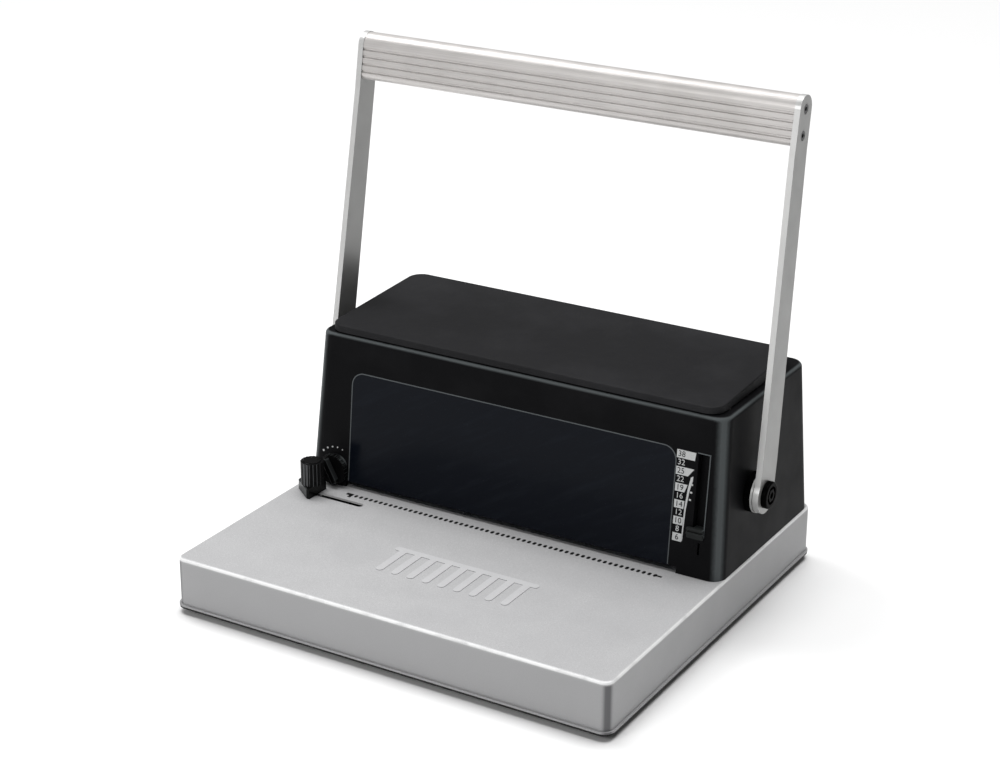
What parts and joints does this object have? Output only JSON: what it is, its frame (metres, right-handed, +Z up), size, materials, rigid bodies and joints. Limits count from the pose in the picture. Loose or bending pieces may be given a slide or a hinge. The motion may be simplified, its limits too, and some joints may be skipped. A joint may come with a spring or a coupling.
{
  "type": "comb binding machine",
  "caption": "Manual comb binding machine with a sheet-metal base, paper throat, tapered housing, hinged lid over the comb opener and a wide overhead lever handle.",
  "frame": {"origin": "middle of the footprint, on the table", "axes": "+Z up, -Y towards the user and the paper plate, +X to the user's right"},
  "size_m": [0.4236, 0.363, 0.4194],
  "materials": {
    "silver_paint": "fine-textured silver powder coat",
    "dark_sheet": "black-painted sheet",
    "dark_screw": "black oxide",
    "sheet_steel": "zinc-plated sheet",
    "tool_steel": "ground steel, lightly oiled",
    "screw_steel": "bright plated",
    "bronze": "sintered bronze",
    "black_plastic": "fine texture, satin black",
    "lid_plastic": "matt dark grey",
    "panel_gloss": "glossy blue-black",
    "control_plastic": "satin black",
    "arm_aluminium": "satin silver",
    "grip_aluminium": "anodised, grooved extrusion",
    "rubber": "matt"
  },
  "bodies": {
    "base": {"base_tray": "silver_paint", "base_bottom_plate": "dark_sheet", "feet": "rubber", "base_screws": "screw_steel", "tray_runners": "sheet_steel", "die_plate": "tool_steel", "guide_spacers": "tool_steel", "punch_guide": "tool_steel", "guide_screws": "screw_steel", "guide_posts": "tool_steel", "post_nuts": "screw_steel", "return_springs": "screw_steel", "side_frame_left": "sheet_steel", "side_frame_right": "sheet_steel", "frame_screws": "screw_steel", "tie_rods": "tool_steel", "rod_screws": "screw_steel", "stop_pins": "tool_steel", "shaft_bushes": "bronze", "pivot_boss_left": "control_plastic", "pivot_boss_right": "control_plastic", "housing": "black_plastic", "housing_screws": "screw_steel", "front_panel": "panel_gloss", "hinge_pins": "screw_steel", "lid_bumpers": "rubber", "comb_deck": "sheet_steel", "deck_screws": "screw_steel", "comb_fingers": "tool_steel", "slide_rails": "sheet_steel", "dial_bracket": "sheet_steel", "gauge_channel": "black_plastic"},
    "handle": {"handle_arm_left": "arm_aluminium", "handle_arm_right": "arm_aluminium", "handle_grip": "grip_aluminium", "grip_screws": "dark_screw", "pivot_shaft": "tool_steel", "drive_cams": "tool_steel", "stop_collars": "tool_steel", "pivot_cap_left": "control_plastic", "pivot_cap_right": "control_plastic", "pivot_washers": "arm_aluminium"},
    "punch": {"punch_plate": "tool_steel", "punch_pins": "tool_steel"},
    "lid": {"lid": "lid_plastic"},
    "comb_opener": {"hook_plate": "tool_steel", "opener_tab": "black_plastic"},
    "margin_dial": {"margin_dial": "control_plastic", "dial_shaft": "tool_steel"},
    "depth_stop": {"depth_stop": "tool_steel"},
    "edge_guide": {"edge_guide": "control_plastic", "guide_clamp_nut": "screw_steel"},
    "guide_knob": {"guide_knob": "control_plastic"},
    "gauge_slider": {"gauge_slider": "black_plastic"},
    "waste_tray": {"waste_tray": "black_plastic"}
  },
  "joints": [
    {"name": "handle_swing", "type": "hinge", "parent": "base", "child": "handle", "pos_m": [0, 0.06125, 0.1066], "axis": [1, 0, 0], "range_deg": [0, 80], "stiffness_Nm_per_rad": 1.5, "springref_deg": -28.65},
    {"name": "punch_slide", "type": "slide", "parent": "base", "child": "punch", "axis": [0, 0, -1], "range_m": [0, 0.0111], "deforming": ["return_springs"]},
    {"name": "lid_hinge", "type": "hinge", "parent": "base", "child": "lid", "pos_m": [0, 0.15955, 0.187], "axis": [-1, 0, 0], "range_deg": [0, 95]},
    {"name": "comb_opener_slide", "type": "slide", "parent": "base", "child": "comb_opener", "axis": [0, 1, 0], "range_m": [0, 0.02]},
    {"name": "margin_dial_turn", "type": "hinge", "parent": "base", "child": "margin_dial", "pos_m": [-0.169, 0.00295, 0.064], "axis": [0, 1, 0], "range_deg": [0, 270]},
    {"name": "depth_stop_slide", "type": "slide", "parent": "base", "child": "depth_stop", "axis": [0, 1, 0], "range_m": [0, 0.00455]},
    {"name": "edge_guide_slide", "type": "slide", "parent": "base", "child": "edge_guide", "axis": [1, 0, 0], "range_m": [0, 0.045]},
    {"name": "guide_knob_turn", "type": "hinge", "parent": "edge_guide", "child": "guide_knob", "pos_m": [-0.1745, -0.02175, 0.0589], "axis": [0, 0, 1], "range_deg": [0, 180]},
    {"name": "gauge_slide", "type": "slide", "parent": "base", "child": "gauge_slider", "axis": [0, 0.1047, 0.9945], "range_m": [0, 0.058]},
    {"name": "waste_tray_slide", "type": "slide", "parent": "base", "child": "waste_tray", "axis": [0, 1, 0], "range_m": [0, 0.11]}
  ],
  "couplings": [
    {"joint": "punch_slide", "follows": "handle_swing", "m_per_rad": 0.0078782},
    {"joint": "depth_stop_slide", "follows": "margin_dial_turn", "m_per_rad": 0.00095493}
  ]
}
